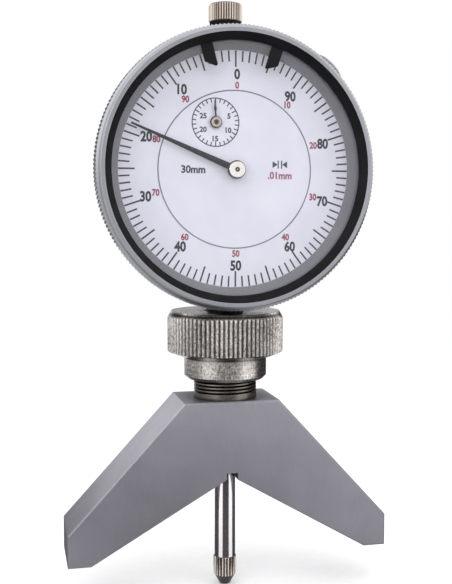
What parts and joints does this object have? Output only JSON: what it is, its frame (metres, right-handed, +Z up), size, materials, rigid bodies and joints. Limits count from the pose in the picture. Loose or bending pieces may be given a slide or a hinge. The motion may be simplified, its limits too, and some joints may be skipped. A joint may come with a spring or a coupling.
{
  "type": "dial depth gauge",
  "caption": "Dial indicator clamped by a split bush and knurled nut in a V-shaped bridge base; its sprung spindle measures depth below the feet.",
  "frame": {"origin": "on the spindle's axis, in the plane of the two feet (the gauge's zero plane)", "axes": "+Z up along the spindle, -Y the way the dial faces, +X to the reader's right"},
  "size_m": [0.0714, 0.0272, 0.1292],
  "materials": {
    "satin_steel": "ground and satin, edges bright",
    "dark_steel": "oiled thread, dark in the grooves",
    "satin_nickel": "satin nickel plate",
    "dull_steel": "plain turned, oiled",
    "bronze": "plain bushes",
    "case_chrome": "satin chrome plate",
    "screw_steel": "slotted screws",
    "spring_steel": "drawn wire",
    "movement_brass": "stamped and brushed",
    "dial_white": "white enamel with printed scale",
    "black_rubber": "soft stop ring",
    "polished_steel": "ground and polished",
    "cap_steel": "knurled, grooves dark",
    "contact_steel": "knurled, grooves and tip dark",
    "pinion_steel": "hardened pinions",
    "arbor_steel": "hardened, pin end ringed dark",
    "pointer_metal": "thin dark pointer",
    "hub_metal": "turned and polished",
    "arbor_brass": "brushed, arbor's end dark",
    "small_hub_metal": "turned, slightly brown",
    "bezel_chrome": "satin chrome, straight knurled edge",
    "wall_grey": "plain grey cone",
    "crystal": "clear",
    "black_plastic": "black ring",
    "black_paint": "black markers",
    "screw_chrome": "satin chrome, fine knurl"
  },
  "bodies": {
    "base_assembly": {"base": "satin_steel", "collet": "dark_steel"},
    "clamp_nut": {"clamp_nut": "satin_nickel"},
    "indicator": {"stem": "dull_steel", "stem_bushes": "bronze", "case": "case_chrome", "rear_cover": "case_chrome", "rear_cover_screws": "screw_steel", "retaining_wire": "spring_steel", "movement_plate": "movement_brass", "movement_screws": "screw_steel", "movement_pillars": "movement_brass", "movement_bridge": "movement_brass", "bridge_screws": "screw_steel", "pinion_cock": "movement_brass", "guide_rail": "movement_brass", "spring_anchor": "screw_steel", "return_spring": "spring_steel", "hairspring": "spring_steel", "hairspring_stud": "screw_steel", "dial_disc": "dial_white", "top_bush": "case_chrome", "cushion_ring": "black_rubber", "clamp_shoe": "case_chrome"},
    "spindle": {"spindle": "polished_steel", "guide_pin": "screw_steel", "lift_cap": "cap_steel", "contact_point": "contact_steel"},
    "rack_shaft": {"rack_pinion": "pinion_steel", "first_wheel": "movement_brass"},
    "pointer": {"centre_pinion": "arbor_steel", "main_pointer": "pointer_metal", "main_pointer_hub": "hub_metal"},
    "takeup": {"takeup_wheel": "movement_brass", "takeup_pinion": "pinion_steel"},
    "counter": {"counter_wheel": "arbor_brass", "small_pointer": "pointer_metal", "small_pointer_hub": "small_hub_metal"},
    "bezel": {"bezel": "bezel_chrome", "scale_ring": "dial_white", "dial_wall": "wall_grey", "crystal": "crystal", "crystal_ring": "black_plastic"},
    "limit_marker_left": {"limit_marker_left": "black_paint"},
    "limit_marker_right": {"limit_marker_right": "black_paint"},
    "bezel_clamp_screw": {"bezel_clamp_screw": "screw_chrome"}
  },
  "joints": [
    {"name": "indicator_swivel", "type": "hinge", "parent": "base_assembly", "child": "indicator", "pos_m": [0, 0, 0.0344], "axis": [0, 0, 1], "continuous": true},
    {"name": "clamp_nut_turn", "type": "hinge", "parent": "base_assembly", "child": "clamp_nut", "pos_m": [0, 0, 0.0462], "axis": [0, 0, 1], "range_deg": [0, 360]},
    {"name": "spindle_slide", "type": "slide", "parent": "indicator", "child": "spindle", "axis": [0, 0, 1], "range_m": [0, 0.03], "stiffness_N_per_m": 27, "springref_m": -0.052, "deforming": ["return_spring"]},
    {"name": "rack_shaft_turn", "type": "hinge", "parent": "indicator", "child": "rack_shaft", "pos_m": [-0.00352, -0.004, 0.07388], "axis": [0, 1, 0], "range_deg": [-1081, 1]},
    {"name": "pointer_turn", "type": "hinge", "parent": "indicator", "child": "pointer", "pos_m": [0, -0.004, 0.0843], "axis": [0, 1, 0], "range_deg": [-1, 10801]},
    {"name": "takeup_turn", "type": "hinge", "parent": "indicator", "child": "takeup", "pos_m": [0.00646, -0.004, 0.0932], "axis": [0, 1, 0], "range_deg": [-1081, 1]},
    {"name": "counter_turn", "type": "hinge", "parent": "indicator", "child": "counter", "pos_m": [-0.0043, -0.004, 0.0941], "axis": [0, 1, 0], "range_deg": [-1, 361]},
    {"name": "bezel_turn", "type": "hinge", "parent": "indicator", "child": "bezel", "pos_m": [0, -0.01, 0.0843], "axis": [0, 1, 0], "continuous": true},
    {"name": "left_marker_turn", "type": "hinge", "parent": "bezel", "child": "limit_marker_left", "pos_m": [0, -0.0124, 0.0843], "axis": [0, 1, 0], "range_deg": [-150, 10]},
    {"name": "right_marker_turn", "type": "hinge", "parent": "bezel", "child": "limit_marker_right", "pos_m": [0, -0.0124, 0.0843], "axis": [0, 1, 0], "range_deg": [-10, 150]},
    {"name": "bezel_clamp_turn", "type": "hinge", "parent": "indicator", "child": "bezel_clamp_screw", "pos_m": [0.02103, -0.0029, 0.1057], "axis": [0.7009, 0, 0.7133], "range_deg": [0, 360]}
  ],
  "couplings": [
    {"joint": "rack_shaft_turn", "follows": "spindle_slide", "rad_per_m": -628.32},
    {"joint": "pointer_turn", "follows": "spindle_slide", "rad_per_m": 6283.2},
    {"joint": "takeup_turn", "follows": "spindle_slide", "rad_per_m": -628.32},
    {"joint": "counter_turn", "follows": "spindle_slide", "rad_per_m": 209.44}
  ]
}
